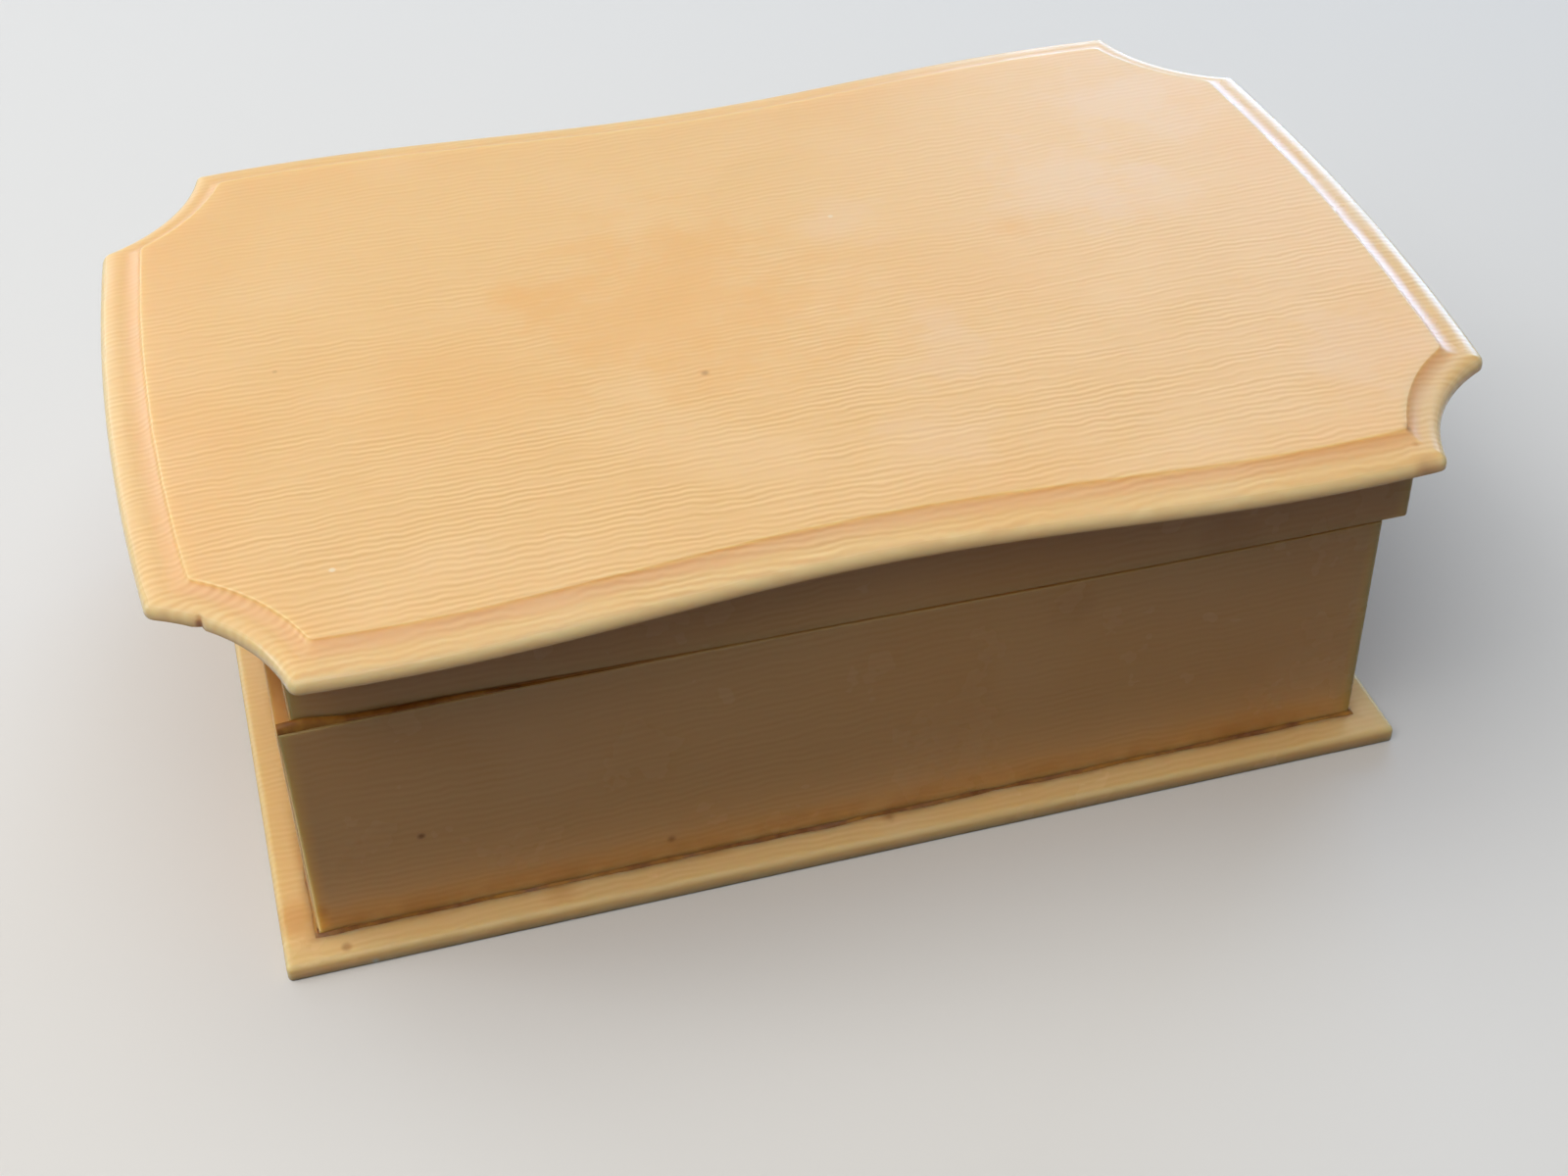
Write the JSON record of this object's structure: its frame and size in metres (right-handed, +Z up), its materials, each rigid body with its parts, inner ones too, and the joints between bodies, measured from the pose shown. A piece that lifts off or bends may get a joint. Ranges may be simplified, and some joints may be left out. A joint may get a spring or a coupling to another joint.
{
  "type": "trinket box",
  "caption": "Low rectangular box of ivory coloured celluloid sheet for small keepsakes, with a rear-hinged lid whose serpentine, scoop-cornered plate carries a cove moulding.",
  "frame": {"origin": "middle of the base plate's flat underside, on the surface that the box stands on", "axes": "+X to the right along the box's length, +Y from the front to the hinges, +Z up"},
  "size_m": [0.1614, 0.108, 0.0487],
  "materials": {
    "celluloid": "ivory coloured celluloid with fine lengthwise grain lines, satin to semi-gloss, slightly translucent and yellowed",
    "brass": "aged, dull satin"
  },
  "bodies": {
    "box": {"base_plate": "celluloid", "front_wall": "celluloid", "right_wall": "celluloid", "rear_wall": "celluloid", "left_wall": "celluloid", "left_hinge_box_leaf": "brass", "left_hinge_pin": "brass", "left_hinge_box_rivet_1": "brass", "left_hinge_box_rivet_2": "brass", "right_hinge_box_leaf": "brass", "right_hinge_pin": "brass", "right_hinge_box_rivet_1": "brass", "right_hinge_box_rivet_2": "brass"},
    "lid": {"lid_plate": "celluloid", "lid_front_rim": "celluloid", "lid_right_rim": "celluloid", "lid_rear_rim": "celluloid", "lid_left_rim": "celluloid", "left_hinge_lid_leaf": "brass", "left_hinge_lid_rivet_1": "brass", "left_hinge_lid_rivet_2": "brass", "right_hinge_lid_leaf": "brass", "right_hinge_lid_rivet_1": "brass", "right_hinge_lid_rivet_2": "brass"}
  },
  "joints": [
    {"name": "lid_hinge", "type": "hinge", "parent": "box", "child": "lid", "pos_m": [0, 0.04785, 0.03325], "axis": [-1, 0, 0], "range_deg": [0, 159]}
  ]
}
